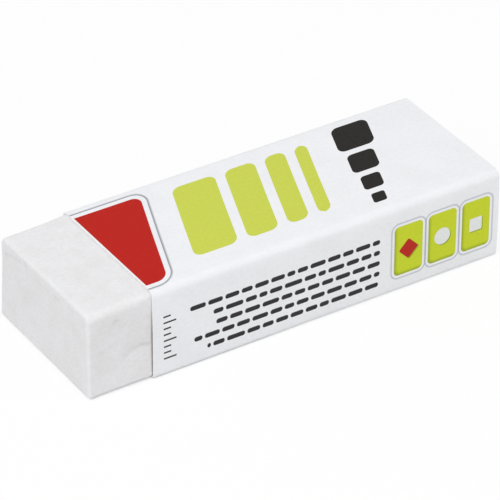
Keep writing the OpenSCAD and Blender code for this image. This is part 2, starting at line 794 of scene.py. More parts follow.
    def _motifs(self, sheet: NodeSheet, raised: Socket, colour: Socket) -> Socket:
        """Prints a plain motif with a soft shadow on each tile: a diamond, a disc and a square.

        Args:
            sheet: the material's nodes.
            raised: the place on the blank, with its height measured from the table.
            colour: the colour that is printed on.

        Returns:
            The printed colour's output.
        """
        first, second, third = (start + self.tile_length / 2 for start in self.tile_starts)
        level = self.tile_low + self.tile_height / 2
        diamond = InkShape(first, level, self.diamond_size, self.diamond_size, self.diamond_corner,
                           turn_deg=45.0)
        disc = InkShape(second, level, self.disc_size, self.disc_size, self.disc_corner)
        square = InkShape(third, level, self.square_size, self.square_size, self.square_corner)
        for motif, ink in ((diamond, self.red), (disc, self.white), (square, self.white)):
            shadow = replace(motif, along=motif.along + self.shadow_shift,
                             across=motif.across - self.shadow_shift)
            shadow_mask = shadow.mask(sheet, raised, self.shadow_blur)
            colour = sheet.blend(shadow_mask, colour, paint(self.lime_shade))
            colour = sheet.blend(motif.mask(sheet, raised), colour, paint(ink))
        return colour


@dataclass(frozen=True)
class VinylFinish:
    """White vinyl: faintly cloudy, with a fine grain, drag marks on the cut ends and grey in its nicks.

    Attributes:
        white: its plain colour.
        cloud: the colour of its blotches.
        nick: the grey in its nicks and creases, partly dirt and partly painted shade.
        blotches: the pattern of its blotches.
        grain: the fine pattern that darkens it a little.
        speckle: the pattern that breaks up that grey.
        dullness: its roughness, which differs from place to place.
        drag: the drag marks of the knife on the cut ends.
        end_start: how squarely a face has to look along X to show drag marks.
        end_full: how squarely it has to look along X to show them fully.
        reliefs: the layers of relief on all faces.
        gloss: how strongly it reflects.
        scatter: how much light goes through the surface and comes out elsewhere.
        scatter_mm: how far that light goes, in millimetres.
        scatter_tint: how far it goes for red, green and blue, as shares of scatter_mm.
    """

    white: Rgb = (240, 240, 242)
    cloud: Rgb = (237, 236, 237)
    nick: Rgb = (210, 206, 203)
    blotches: Mottle = Mottle(3.2, 4.0)
    grain: Mottle = Mottle(0.45, 4.0, 0.95, 1.0, low=0.3)
    speckle: Mottle = Mottle(0.35, 3.0, 0.5, 1.0, high=0.65)
    dullness: Mottle = Mottle(1.6, 3.0, 0.44, 0.58, low=0.3)
    drag: Relief = Relief(0.22, 0.012, stretch=(1.0, 1.0, 22.0))
    end_start: float = 0.7
    end_full: float = 0.95
    reliefs: tuple[Relief, ...] = (Relief(1.1, 0.016), Relief(0.14, 0.008, 3.0))
    gloss: float = 0.4
    scatter: float = 0.2
    scatter_mm: float = 0.7
    scatter_tint: Triple = (1.0, 0.95, 0.9)

    def material(self) -> bpy.types.Material:
        """Makes the material of the rubber block.

        Returns:
            The material.
        """
        material, sheet = new_material("white_vinyl")
        place = sheet.place_mm()
        colour = sheet.blend(self.blotches.lay(sheet, place), paint(self.white), paint(self.cloud))
        colour = sheet.dim(colour, self.grain.lay(sheet, place))
        nick = sheet.add("ShaderNodeAttribute", attribute_name=NICK_LAYER).outputs["Fac"]
        # Grey in the nicks and creases: partly dirt, partly painted shade.
        dirt_and_shade = sheet.calc("MULTIPLY", nick, self.speckle.lay(sheet, place))
        colour = sheet.blend(dirt_and_shade, colour, paint(self.nick))

        normal = sheet.add("ShaderNodeTexCoord").outputs["Normal"]
        facing = sheet.add("ShaderNodeSeparateXYZ", {0: normal}).outputs["X"]
        cut_end = sheet.rise(sheet.calc("ABSOLUTE", facing), self.end_start, self.end_full)
        relief = self.drag.lay(sheet, place, share=cut_end)
        for layer in self.reliefs:
            relief = layer.lay(sheet, place, relief)
        sheet.surface({
            "Base Color": colour,
            "Roughness": self.dullness.lay(sheet, place),
            "Normal": relief,
            "IOR": 1.5,
            "Specular IOR Level": self.gloss,
            "Subsurface Weight": self.scatter,
            "Subsurface Radius": self.scatter_tint,
            "Subsurface Scale": self.scatter_mm * MM,
        })
        return material


@dataclass(frozen=True)
class PrintedCardFinish:
    """Coated white card with its print: satin, with paper fibres faintly raised under the coating.

    Attributes:
        top: the print on the top panel.
        side: the print on the near side.
        white: its plain colour.
        cloud: the colour of its blotches.
        blotches: the pattern of its blotches.
        mottle: the fine pattern that darkens the card and the print a little.
        dullness: its roughness, which differs from place to place.
        waves: the broad unevenness of the card.
        fibres: the paper's fibres over it, which lie along the sleeve.
        gloss: how strongly it reflects.
    """

    top: TopPrint
    side: SidePrint
    white: Rgb = (248, 249, 252)
    cloud: Rgb = (245, 246, 249)
    blotches: Mottle = Mottle(5.0, 3.0)
    mottle: Mottle = Mottle(0.5, 4.0, 0.965, 1.0, low=0.3)
    dullness: Mottle = Mottle(0.8, 3.0, 0.41, 0.5, low=0.3)
    waves: Relief = Relief(2.4, 0.01)
    fibres: Relief = Relief(0.2, 0.004, 3.0, (2.5, 1.0, 1.0))
    gloss: float = 0.12

    def material(self) -> bpy.types.Material:
        """Makes the material of the sleeve's outside.

        Returns:
            The material.
        """
        material, sheet = new_material("printed_card")
        place = sheet.add("ShaderNodeUVMap", uv_map=BLANK_MAP).outputs[0]
        colour = sheet.blend(self.blotches.lay(sheet, place), paint(self.white), paint(self.cloud))
        colour = self.top.lay(sheet, place, colour)
        colour = self.side.lay(sheet, place, colour)
        sheet.surface({
            "Base Color": sheet.dim(colour, self.mottle.lay(sheet, place)),
            "Roughness": self.dullness.lay(sheet, place),
            "Normal": self.fibres.lay(sheet, place, self.waves.lay(sheet, place)),
            "IOR": 1.5,
            "Specular IOR Level": self.gloss,
        })
        return material


@dataclass(frozen=True)
class BareBoardFinish:
    """Uncoated card: matt, with fibres that show as fine streaks.

    Attributes:
        name: the material's name.
        white: its plain colour.
        fibre: the colour of its fibres.
        streaks: the relief of the fibres.
        fibre_low: the noise at which a fibre starts to show.
        fibre_high: the noise from which it shows fully.
        roughness: its roughness.
        gloss: how strongly it reflects.
    """

    name: str
    white: Rgb
    fibre: Rgb
    streaks: Relief = Relief(0.12, 0.015, 3.0, (9.0, 1.0, 1.0))
    fibre_low: float = 0.35
    fibre_high: float = 0.7
    roughness: float = 0.85
    gloss: float = 0.25

    def material(self) -> bpy.types.Material:
        """Makes the material of the sleeve's inside or of its cut edges.

        Returns:
            The material.
        """
        material, sheet = new_material(self.name)
        place = sheet.place_mm()
        streaks = self.streaks
        fibres = sheet.cloud(place, streaks.period, streaks.detail, streaks.stretch)
        shown = sheet.rise(fibres, self.fibre_low, self.fibre_high)
        sheet.surface({
            "Base Color": sheet.blend(shown, paint(self.white), paint(self.fibre)),
            "Roughness": self.roughness,
            "Normal": sheet.bump(fibres, streaks.depth),
            "Specular IOR Level": self.gloss,
        })
        return material


class Workpiece:
    """One mesh on the bench, shaped in edit mode by operators on parts that are picked by their place."""

    def __init__(self, name: str, size: Triple) -> None:
        """Takes over the primitive that was added last, and brings it to its size.

        Args:
            name: the piece's name.
            size: its size along its own axes, in millimetres.
        """
        self.piece = bpy.context.object
        self.piece.name = name
        self.piece.data.name = name
        self.piece.scale = Vector(size) * MM
        bpy.ops.object.transform_apply(location=True, rotation=True, scale=True)

    def open(self, mode: str) -> None:
        """Enters edit mode, to pick vertices, edges or faces."""
        bpy.ops.object.mode_set(mode="EDIT")
        bpy.ops.mesh.select_mode(type=mode)

    def close(self) -> None:
        """Leaves edit mode."""
        bpy.ops.object.mode_set(mode="OBJECT")

    def pick(self, kind: str, test: Callable[[Vector, Vector], bool]) -> int:
        """Selects what passes a test of its place, and nothing else.

        Args:
            kind: verts, edges or faces.
            test: takes the lowest and highest corner of an element in millimetres.

        Returns:
            How many elements were picked.
        """
        mesh = bmesh.from_edit_mesh(self.piece.data)
        for element in (*mesh.verts, *mesh.edges, *mesh.faces):
            element.select_set(False)
        count = 0
        for element in getattr(mesh, kind):
            corners = [element] if kind == "verts" else element.verts
            places = [vert.co / MM for vert in corners]
            low = Vector(min(place[axis] for place in places) for axis in range(3))
            high = Vector(max(place[axis] for place in places) for axis in range(3))
            if test(low, high):
                element.select_set(True)
                count += 1
        mesh.select_flush_mode()
        bmesh.update_edit_mesh(self.piece.data)
        return count

    def round_off(self, radius: float, steps: int) -> None:
        """Rounds the picked edges with arcs.

        Args:
            radius: the radius of the rounding in millimetres.
            steps: how many faces each arc has.
        """
        bpy.ops.mesh.bevel(offset=radius * MM, offset_type="OFFSET", segments=steps, profile=0.5,
                           affect="EDGES", clamp_overlap=False)

    def score(self, axis: int, place: float, low: float, high: float) -> None:
        """Cuts a line square to an axis round the part of the piece between two places along X.

        Args:
            axis: the axis that the cut is square to.
            place: where the cut lies on it, in millimetres.
            low: the least X of the faces that are cut.
            high: the greatest X of the faces that are cut.
        """
        slack = 0.001
        self.pick("faces", lambda near, far: near.x > low - slack and far.x < high + slack)
        point, normal = [0.0] * 3, [0.0] * 3
        point[axis] = place * MM
        normal[axis] = 1.0
        bpy.ops.mesh.bisect(plane_co=point, plane_no=normal)

    def apply(self, kind: str, **settings: object) -> None:
        """Adds a modifier and applies it.

        Args:
            kind: Blender's name of the modifier type.
            settings: the modifier's own properties.
        """
        modifier = self.piece.modifiers.new(kind.lower(), kind)
        for name, value in settings.items():
            setattr(modifier, name, value)
        bpy.ops.object.modifier_apply(modifier=modifier.name)

    def places(self) -> np.ndarray:
        """Reads where the vertices are.

        Returns:
            Every vertex's place in millimetres, one row each.
        """
        count = len(self.piece.data.vertices)
        flat = np.empty(count * 3)
        self.piece.data.vertices.foreach_get("co", flat)
        return flat.reshape(count, 3) / MM

    def normals(self) -> np.ndarray:
        """Reads which way the vertices look.

        Returns:
            Every vertex's normal, one row each.
        """
        count = len(self.piece.data.vertices)
        flat = np.empty(count * 3)
        self.piece.data.vertices.foreach_get("normal", flat)
        return flat.reshape(count, 3)

    def move_to(self, places: np.ndarray) -> None:
        """Moves every vertex to a new place in millimetres."""
        self.piece.data.vertices.foreach_set("co", (places * MM).ravel())
        self.piece.data.update()

    def dress(self, materials: Iterable[bpy.types.Material]) -> None:
        """Gives the piece its materials, in the order of its material slots."""
        for material in materials:
            self.piece.data.materials.append(material)

    def smooth(self, angle_deg: float) -> None:
        """Shades the piece smooth, but for edges sharper than an angle."""
        bpy.ops.object.shade_smooth_by_angle(angle=math.radians(angle_deg))


def clear_bench() -> None:
    """Leaves edit mode and deselects everything, so that an operator acts on one piece only."""
    if bpy.context.object is not None and bpy.context.object.mode != "OBJECT":
        bpy.ops.object.mode_set(mode="OBJECT")
    bpy.ops.object.select_all(action="DESELECT")


@dataclass(frozen=True)
class Lean:
    """How the card has settled: both long sides come in towards the top, and the block with them.

    Sizes are in millimetres.

    Attributes:
        height: the height of the sleeve's top.
        half_width: half the sleeve's width at the bottom.
        near: how far the near side has come in at the top.
        far: the same for the far side.
    """

    height: float
    half_width: float
    near: float = 0.4
    far: float = 0.65

    def narrow(self, places: np.ndarray) -> np.ndarray:
        """Narrows a shape towards its top.

        Args:
            places: one row of x, y and z for each point, in millimetres.

        Returns:
            The narrowed places.
        """
        side = np.where(places[:, 1] > 0, self.far, self.near)
        narrowed = places.copy()
        narrowed[:, 1] *= 1 - side / self.half_width * places[:, 2] / self.height
        return narrowed


class Facing(Enum):
    """The way that a marked part of the block looks."""

    NEAR = (0.0, -1.0, 0.0)
    TIP = (-1.0, 0.0, 0.0)
    TOP = (0.0, 0.0, 1.0)
    NEAR_TOP_CORNER = (-0.577, -0.577, 0.577)


@dataclass(frozen=True)
class Mark:
    """A hollow or swelling that handling left on the rubber.

    Attributes:
        place: its middle in millimetres: from the tip, to the far side, and above the table.
        along: the direction of its length.
        facing: the way that the marked part looks.
        half_size: half its length and half its width, in millimetres.
        depth: how deep it is, in millimetres. A swelling has a depth below zero.
        grey: how much grey it puts in, partly as dirt and partly as painted shade, from 0 to 1.
        reach: how far before and behind its middle it still has an effect, in millimetres.
        facing_start: how squarely the surface has to look the mark's way to show it.
        facing_full: how squarely it has to look that way to show it fully.
    """

    place: Triple
    along: Triple
    facing: Facing
    half_size: tuple[float, float]
    depth: float
    grey: float = 0.0
    reach: float = 3.0
    facing_start: float = 0.1
    facing_full: float = 0.8

    def share(self, places: np.ndarray, normals: np.ndarray) -> np.ndarray:
        """Says how strongly each point is marked.

        Args:
            places: one row for each point in millimetres, measured as the mark's place is.
            normals: the points' normals.

        Returns:
            One number from 0 to 1 for each point.
        """
        facing = np.array(self.facing.value)
        along = np.array(self.along)
        along /= np.linalg.norm(along)
        beside = np.cross(facing, along)
        away = places - np.array(self.place)
        half_length, half_width = self.half_size
        bell = np.exp(-(away @ along / half_length) ** 4 - (away @ beside / half_width) ** 2)
        looking = smooth_step(normals @ facing, self.facing_start, self.facing_full)
        return bell * looking * (np.abs(away @ facing) < self.reach)

    def press(self, places: np.ndarray, normals: np.ndarray) -> np.ndarray:
        """Gives how far each point moves.

        Args:
            places: one row for each point in millimetres, measured as the mark's place is.
            normals: the points' normals.

        Returns:
            One row of x, y and z for each point.
        """
        return -self.depth * self.share(places, normals)[:, None] * np.array(self.facing.value)


def near_mark(from_tip: float, height: float, half_size: tuple[float, float], depth: float,
              slope: float = 0.0, grey: float = 0.0) -> Mark:
    """Puts a mark on the block's near side, with its length rising by a slope away from the tip."""
    place = (from_tip, NEAR_SIDE_Y, height)
    return Mark(place, (1.0, 0.0, slope), Facing.NEAR, half_size, depth, grey)


def tip_mark(across: float, height: float, half_size: tuple[float, float], depth: float,
             slope: float = 0.0, grey: float = 0.0) -> Mark:
    """Puts a mark on the cut face, with its length rising by a slope towards the near side."""
    place = (0.0, across, height)
    return Mark(place, (0.0, -1.0, slope), Facing.TIP, half_size, depth, grey)


def top_mark(from_tip: float, across: float, half_size: tuple[float, float], depth: float,
             slope: float = 0.0) -> Mark:
    """Puts a mark on the block's top, with its length going across by a slope away from the tip."""
    place = (from_tip, across, TOP_Z)
    return Mark(place, (1.0, slope, 0.0), Facing.TOP, half_size, depth)


def handling_marks() -> tuple[Mark, ...]:
    """Lists what handling left on the bare end of the block.

    Returns:
        The marks on its near side, its cut face and its top, and its worn near top corner.
    """
    return (
        near_mark(4.5, 5.6, (4.4, 3.6), depth=0.12),
        near_mark(4.9, 9.9, (1.1, 0.42), depth=0.1, slope=-1.1, grey=0.25),
        near_mark(4.2, 10.6, (0.5, 0.4), depth=0.08, slope=0.3, grey=0.35),
        near_mark(5.6, 9.6, (1.2, 0.4), depth=-0.03, slope=-1.1),
        near_mark(3.3, 7.5, (2.1, 0.4), depth=-0.05, slope=0.3),
        near_mark(3.5, 6.8, (2.0, 0.6), depth=0.03, slope=0.3),
        near_mark(6.6, 5.1, (1.4, 0.26), depth=0.08, slope=0.41, grey=0.2),
        near_mark(8.6, 5.4, (0.8, 0.28), depth=0.16, slope=-0.3, grey=0.5),
        near_mark(7.3, 5.1, (2.0, 1.4), depth=0.2, slope=0.2),
        near_mark(6.9, 1.9, (0.8, 0.5), depth=-0.04),
        tip_mark(9.4, 10.8, (0.6, 0.35), depth=0.1, slope=0.35, grey=0.5),
        tip_mark(8.2, 11.2, (0.5, 0.3), depth=0.08, slope=0.2, grey=0.4),
        tip_mark(6.4, 11.6, (0.9, 0.25), depth=0.07, slope=0.2, grey=0.35),
        tip_mark(4.6, 12.0, (0.6, 0.3), depth=0.08, grey=0.35),
        tip_mark(-3.6, 11.4, (0.7, 0.3), depth=0.08, slope=0.15, grey=0.4),
        tip_mark(-6.9, 11.8, (0.8, 0.25), depth=0.07, slope=0.1, grey=0.3),
        tip_mark(0.0, 6.0, (8.5, 4.5), depth=0.07),
        top_mark(4.5, 2.0, (2.6, 1.6), depth=0.04, slope=0.4),
        top_mark(5.5, -6.0, (2.0, 1.2), depth=0.03, slope=-0.6),
        Mark((0.3, -10.9, 12.6), (1.0, -1.0, 0.0), Facing.NEAR_TOP_CORNER, (1.1, 1.0), depth=0.18),
    )


@dataclass
class EraserBlock:
    """The rubber block. It is cut to length, and its bare end sags, spreads and carries small marks.

    Sizes are in millimetres.

    Attributes:
        mouth: the X of the sleeve's mouth.
        lean: how both sides come in towards the top.
        name: the piece's name.
        node: the solid that it replaces.
        body: the body that it moves with.
        slot: the name of a material slot; not used.
        top_edge_r: radius of the two long top edges.
        cut_edge_r: radius of the long bottom edges and of the edges round both ends.
        top_steps: how many faces each long top edge has.
        cut_steps: how many faces each other edge has.
        end_length: length of the part at each end that is divided finely.
        grid: size of the faces that both ends are divided into, before they are halved.
        mouth_span: how far before and behind the mouth the faces are a third as long.
        bare_span: how far before and behind the mouth the marks of handling fade.
        settle: how far the underside of the bare end hangs down.
        droop: how far the top of the cut face has come down.
        sag: how far the underside hangs down further at the cut face.
        spread: how far the foot of the near side stands out at the cut face.
        far_spread: the same for the far side.
        flare_power: how near the cut face the foot sags and spreads. A higher one is nearer.
        swell: how far the rubber fills its clearance to the card.
        corner_fill: how far it fills the top folds further.
        corner_fade: the share of the bare end over which that filling fades.
        tab_top: height of the glue tab's free edge.
        above_tab: heights above that edge at which the filling above it starts and is full.
        fill_across: distances from the middle to the far side at which it starts and is full.
        far_fill: how far it fills the room above the tab, beside the far side.
        pinch: depth of the line that the card's edge pressed into the near side.
        pinch_width: distance from that line's middle to its edge.
        pinch_heights: the heights at which the line starts to fade and has faded away.
        finish: the rubber.
        marks: the marks of handling on its bare end.
        unevenness: the ripples on its bare end.
    """

    mouth: float
    lean: Lean
    name: str = "vinyl_block"
    node: str = "eraser_block"
    body: str = "block"
    slot: str = "block_rubber"
    top_edge_r: float = 1.1
    cut_edge_r: float = 0.45
    top_steps: int = 10
    cut_steps: int = 4
    end_length: float = 1.0
    grid: float = 0.36
    mouth_span: tuple[float, float] = (0.2, 0.7)
    bare_span: tuple[float, float] = (0.5, 0.8)
    settle: float = 0.02
    droop: float = 0.3
    sag: float = 0.16
    spread: float = 0.25
    far_spread: float = 0.4
    flare_power: int = 18
    swell: float = 0.035
    corner_fill: float = 0.14
    corner_fade: float = 0.35
    tab_top: float = 9.25
    above_tab: tuple[float, float] = (0.1, 2.3)
    fill_across: tuple[float, float] = (6.0, 9.0)
    far_fill: float = 0.24
    pinch: float = 0.2
    pinch_width: float = 0.28
    pinch_heights: tuple[float, float] = (6.0, 11.0)
    finish: VinylFinish = field(default_factory=VinylFinish)
    marks: tuple[Mark, ...] = field(default_factory=handling_marks)
    unevenness: tuple[Ripple, ...] = (Ripple(4.0, 0.012, 3.7), Ripple(1.1, 0.006, 9.1))

    def build(self) -> bpy.types.Object:
        """Models, moves and dresses the block.

        Returns:
            The finished piece.
        """
        low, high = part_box(self.node)
        low, high = low / MM, high / MM
        bench = self._bar(low, high)
        self._grid(bench, low, high)
        self._handle(bench, low, high)
        bench.smooth(SMOOTH_DEG)
        bench.dress([self.finish.material()])
        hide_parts(self.node)
        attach(bench.piece, self.body)
        return bench.piece

    def _bar(self, low: Vector, high: Vector) -> Workpiece:
        """Makes the bar with its rounded edges.

        Args:
            low: the lowest corner of the block.
            high: the highest corner of the block.

        Returns:
            The bar on the bench.
        """
        clear_bench()
        bpy.ops.mesh.primitive_cube_add(size=1, location=(low + high) / 2 * MM)
        bench = Workpiece(self.name, tuple(high - low))
        bench.open("EDGE")
        slack = 0.01
        reach = high.x - low.x - slack
        bench.pick("edges", lambda near, far: far.x - near.x > reach and near.z > high.z - slack)
        bench.round_off(self.top_edge_r, self.top_steps)
        bench.pick("edges", lambda near, far: far.x - near.x > reach and far.z < low.z + slack)
        bench.round_off(self.cut_edge_r, self.cut_steps)
        bench.pick("edges", lambda near, far: far.x < low.x + slack or near.x > high.x - slack)
        bench.round_off(self.cut_edge_r, self.cut_steps)
        bench.close()
        return bench

    def _grid(self, bench: Workpiece, low: Vector, high: Vector) -> None:
        """Scores a fine grid into both ends, so that they can be shaped, and halves it once more.

        Args:
            bench: the bar.
            low: the lowest corner of the block.
            high: the highest corner of the block.
        """
        bench.open("FACE")
        bare_end = self.mouth + self.end_length
        far_end = high.x - self.end_length
        for place in (bare_end, far_end):
            bench.score(0, place, low.x, high.x)
        before, behind = self.mouth_span
        near_mouth = np.arange(self.mouth - before, self.mouth + behind, self.grid / 3)
        up_to_it = np.arange(low.x + self.end_length, near_mouth[0] - self.grid / 3, self.grid)
        for place in (*up_to_it, *near_mouth):
            bench.score(0, place, low.x, bare_end)
        margin = self.cut_edge_r
        for first, last in ((low.x, bare_end), (far_end, high.x)):
            for axis in (1, 2):
                count = round((high[axis] - low[axis] - 2 * margin) / self.grid)
                for place in np.linspace(low[axis] + margin, high[axis] - margin, count + 1)[1:-1]:
                    bench.score(axis, place, first, last)
        bench.close()
        bench.apply("SUBSURF", subdivision_type="SIMPLE", levels=1, render_levels=1)

    def _handle(self, bench: Workpiece, low: Vector, high: Vector) -> None:
        """Shapes the block as the table, the card and handling have, and notes where its nicks and creases
        are greyed, partly as dirt and partly as painted shade.

        Args:
            bench: the bar.
            low: the lowest corner of the block.
            high: the highest corner of the block.
        """
        places, normals = bench.places(), bench.normals()
        before, behind = self.bare_span
        bare = 1 - smooth_step(places[:, 0], self.mouth - before, self.mouth + behind)
        from_tip = places - np.array((low.x, 0.0, 0.0))
        worn = sum(mark.press(from_tip, normals) for mark in self.marks)
        uneven = sum(each.heights(places) - each.depth for each in self.unevenness)
        worn += normals * uneven[:, None]

        out = np.clip((self.mouth - places[:, 0]) / (self.mouth - low.x), 0, 1)
        height = (places[:, 2] - low.z) / (high.z - low.z)
        sagged = self._sag(places, normals, bare, out, height)
        shaped = places + worn * bare[:, None] + sagged + self._fill(places, normals, out)
        leaning = self.lean.narrow(shaped)
        leaning[:, 0] = np.clip(leaning[:, 0], low.x, high.x)
        bench.move_to(leaning)

        layer = bench.piece.data.attributes.new(NICK_LAYER, "FLOAT", "POINT")
        # How grey each point is in the nicks and creases: partly dirt, partly painted shade.
        dirt_and_shade = sum(mark.grey * mark.share(from_tip, normals) for mark in self.marks) * bare
        layer.data.foreach_set("value", np.clip(dirt_and_shade, 0, 1))

    def _sag(self, places: np.ndarray, normals: np.ndarray, bare: np.ndarray, out: np.ndarray,
             height: np.ndarray) -> np.ndarray:
        """Lets the bare end hang down, and spread at its foot.

        Args:
            places: one row of x, y and z for each point, in millimetres.
            normals: the points' normals.
            bare: 1 on the bare end and 0 in the sleeve.
            out: how far each point is out of the mouth, as a share of the bare end.
            height: each point's height as a share of the block's.

        Returns:
            One row for each point, with how far it moves.
        """
        moves = np.zeros_like(places)
        side = np.sign(places[:, 1]) * np.abs(normals[:, 1])
        spread = np.where(side > 0, self.far_spread, self.spread)
        flare = out ** self.flare_power
        foot = 1 - height
        moves[:, 1] = side * spread * flare * foot
        moves[:, 2] = -(self.settle * bare + self.sag * flare) * foot - self.droop * out * height
        return moves

    def _fill(self, places: np.ndarray, normals: np.ndarray, out: np.ndarray) -> np.ndarray:
        """Lets the rubber fill the card round it, and take the line of the card's edge at the mouth.

        Args:
            places: one row of x, y and z for each point, in millimetres.
            normals: the points' normals.
            out: how far each point is out of the mouth, as a share of the bare end.

        Returns:
            One row for each point, with how far it moves.
        """
        up = np.clip(normals[:, 2], 0, 1)
        corner = (2 * normals[:, 1] * up) ** 2 * (1 - smooth_step(out, 0.0, self.corner_fade))
        moves = normals * (self.corner_fill * corner)[:, None]
        moves[:, 1] += self.swell * normals[:, 1]
        moves[:, 2] += self.swell * up
        start, full = self.above_tab
        above_tab = smooth_step(places[:, 2], self.tab_top + start, self.tab_top + full)
        moves[:, 1] += self.far_fill * above_tab * smooth_step(places[:, 1], *self.fill_across)
        from_line = (places[:, 0] - self.mouth - self.pinch_width) / self.pinch_width
        pinched = np.exp(-from_line ** 2) * (1 - smooth_step(places[:, 2], *self.pinch_heights))
        moves[:, 1] += self.pinch * pinched * np.clip(-normals[:, 1], 0, 1)
        return moves


class CardFace(IntEnum):
    """The material slots of the sleeve."""

    PRINTED = 0
    INSIDE = 1
    CUT_EDGE = 2


@dataclass
class CardSleeve:
    """The sleeve: one strip of card, folded round the block, with its glue tab inside the far side.

    The strip is drawn by its outer face. It starts at the cut edge on the far side, goes up and over
    the top, down the near side, back under the block and up again as the tab. Sizes are in millimetres.

    Attributes:
        low: the lowest corner of the sleeve.
        high: its highest corner.
        lean: how both sides come in towards the top.
        name: the piece's name.
        node: the solid that it replaces.
        body: the body that it moves with.
        slot: the name of a material slot; not used.
        card: thickness of the card.
        top_r: outer radius of the two top folds.
        bottom_r: outer radius of the two bottom folds.
        tab_height: height of the tab above the fold that it stands on.
        tab_cut: length that each end of the tab's free edge is cut back.
        seam: height of the far panel's cut edge.
        first_row: width of the first row of faces, next to that edge.
        column: length of the faces that the strip is divided into.
        row: width of those faces.
        end_columns: distances from both ends at which it is divided further.
        top_steps: how many faces each top fold has.
        bottom_steps: how many faces each bottom fold has.
        bow: how far the near side stands out at half its height.
        side_band: distances inside the near side's plane at which the card starts to bow and bows fully.
        mouth_lift: how far it stands out further at the mouth.
        lift_length: how far from the mouth it does.
        wave: its unevenness.
        burr: how far its cut ends flick out.
        burr_length: how far from the ends they do.
    """

    low: Vector
    high: Vector
    lean: Lean
    name: str = "printed_sleeve"
    node: str = "card_sleeve"
    body: str = "sleeve"
    slot: str = "sleeve_card"
    card: float = 0.25
    top_r: float = 1.05
    bottom_r: float = 0.75
    tab_height: float = 8.5
    tab_cut: float = 3.0
    seam: float = 1.1
    first_row: float = 0.5
    column: float = 1.0
    row: float = 1.0
    end_columns: tuple[float, ...] = (0.25, 0.6)
    top_steps: int = 8
    bottom_steps: int = 6
    bow: float = 0.07
    side_band: tuple[float, float] = (0.3, 0.05)
    mouth_lift: float = 0.05
    lift_length: float = 2.5
    wave: Ripple = Ripple(9.0, 0.02, 5.2)
    burr: float = 0.04
    burr_length: float = 0.5

    def build(self) -> bpy.types.Object:
        """Models, moves and dresses the sleeve.

        Returns:
            The finished piece.
        """
        bench = self._fold()
        self._map_blank(bench)
        self._relax(bench)
        bench.dress(self._materials())
        bench.apply("SOLIDIFY", thickness=self.card * MM, offset=-1.0, use_even_offset=True,
                    material_offset=int(CardFace.INSIDE), material_offset_rim=int(CardFace.CUT_EDGE))
        bench.move_to(np.clip(bench.places(), self.low, self.high))
        bench.smooth(SMOOTH_DEG)
        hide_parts(self.node)
        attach(bench.piece, self.body)
        return bench.piece

    def _materials(self) -> list[bpy.types.Material]:
        """Makes the materials.

        Returns:
            The materials, in the order of CardFace.
        """
        fold_to_table = self.high.y + self.high.z
        printed = PrintedCardFinish(TopPrint(), SidePrint(fold_to_table))
        inside = BareBoardFinish("bare_board", (186, 182, 174), (164, 159, 150))
        edge_streaks = Relief(0.05, 0.015, 3.0, (1.0, 12.0, 12.0))
        cut_edge = BareBoardFinish("cut_board_edge", (250, 250, 249), (240, 238, 235), edge_streaks)
        return [printed.material(), inside.material(), cut_edge.material()]

    def _fold(self) -> Workpiece:
        """Draws the strip round the block, row by row.

        Returns:
            The strip on the bench, as one open face with no thickness.
        """
        length = self.high.x - self.low.x
        middle = (self.low.x + self.high.x) / 2
        clear_bench()
        place = Vector((middle, self.high.y, self.seam + self.first_row / 2)) * MM
        bpy.ops.mesh.primitive_plane_add(size=1, location=place, rotation=(math.pi / 2, 0, math.pi))
        bench = Workpiece(self.name, (length, self.first_row, 1.0))
        bench.open("EDGE")
        slack = 0.01
        bench.pick("edges", lambda near, far: far.x - near.x > slack)
        bpy.ops.mesh.subdivide(number_cuts=round(length / self.column) - 1)
        for distance in self.end_columns:
            for place in (self.low.x + distance, self.high.x - distance):
                bench.score(0, place, self.low.x, self.high.x)
        bench.pick("edges", lambda near, far: near.z > self.seam + self.first_row - slack)

        up, to_far_side = Vector((0, 0, 1)), Vector((0, 1, 0))
        half, roof = self.high.y, self.high.z
        inner_half = half - self.card
        self._straight(up, roof - self.top_r - self.seam - self.first_row)
        self._turn(Vector((0, half - self.top_r, roof - self.top_r)), self.top_steps)
        self._straight(-to_far_side, 2 * (half - self.top_r))
        self._turn(Vector((0, self.top_r - half, roof - self.top_r)), self.top_steps)
        self._straight(-up, roof - self.top_r - self.bottom_r)
        self._turn(Vector((0, self.bottom_r - half, self.bottom_r)), self.bottom_steps)
        self._straight(to_far_side, half + inner_half - 2 * self.bottom_r)
        self._turn(Vector((0, inner_half - self.bottom_r, self.bottom_r)), self.bottom_steps)
        square = self.seam + self.card - self.bottom_r
        self._straight(up, square)
        self._straight(up, self.tab_height - square, taper=self.tab_cut)
        bench.close()
        return bench

    def _straight(self, direction: Vector, length: float, taper: float = 0.0) -> None:
        """Carries the picked edge on in a straight line.

        Args:
            direction: the way that it goes.
            length: how far it goes.
            taper: how much shorter each end of the edge is when it gets there.
        """
        count = max(1, round(length / self.row))
        span = self.high.x - self.low.x
        middle = (self.low.x + self.high.x) / 2
        for step in range(count):
            move = direction * (length / count) * MM
            bpy.ops.mesh.extrude_region_move(TRANSFORM_OT_translate={"value": move})
            if taper:
                before = span - 2 * taper * step / count
                after = span - 2 * taper * (step + 1) / count
                bpy.ops.transform.resize(value=(after / before, 1, 1), center_override=(middle * MM, 0, 0))

    def _turn(self, centre: Vector, steps: int) -> None:
        """Carries the picked edge round a fold, a quarter turn to the left.

        Args:
            centre: a point on the axis of the fold.
            steps: how many faces the fold has.
        """
        for _ in range(steps):
            bpy.ops.mesh.spin(steps=1, angle=-math.pi / 2 / steps, center=centre * MM, axis=(1, 0, 0))

    def _map_blank(self, bench: Workpiece) -> None:
        """Gives the strip its map in millimetres of the flat blank.

        Along is measured from the mouth, and across from the middle of the top panel to the far side.

        Args:
            bench: the folded strip.
        """
        mesh = bench.piece.data
        places = bench.places()
        across = self._across(places)
        blank = np.stack([places[:, 0] - self.low.x, across], axis=1)
        layer = mesh.uv_layers.new(name=BLANK_MAP)
        corner_vertex = np.empty(len(mesh.loops), int)
        mesh.loops.foreach_get("vertex_index", corner_vertex)
        layer.data.foreach_set("uv", blank[corner_vertex].ravel())

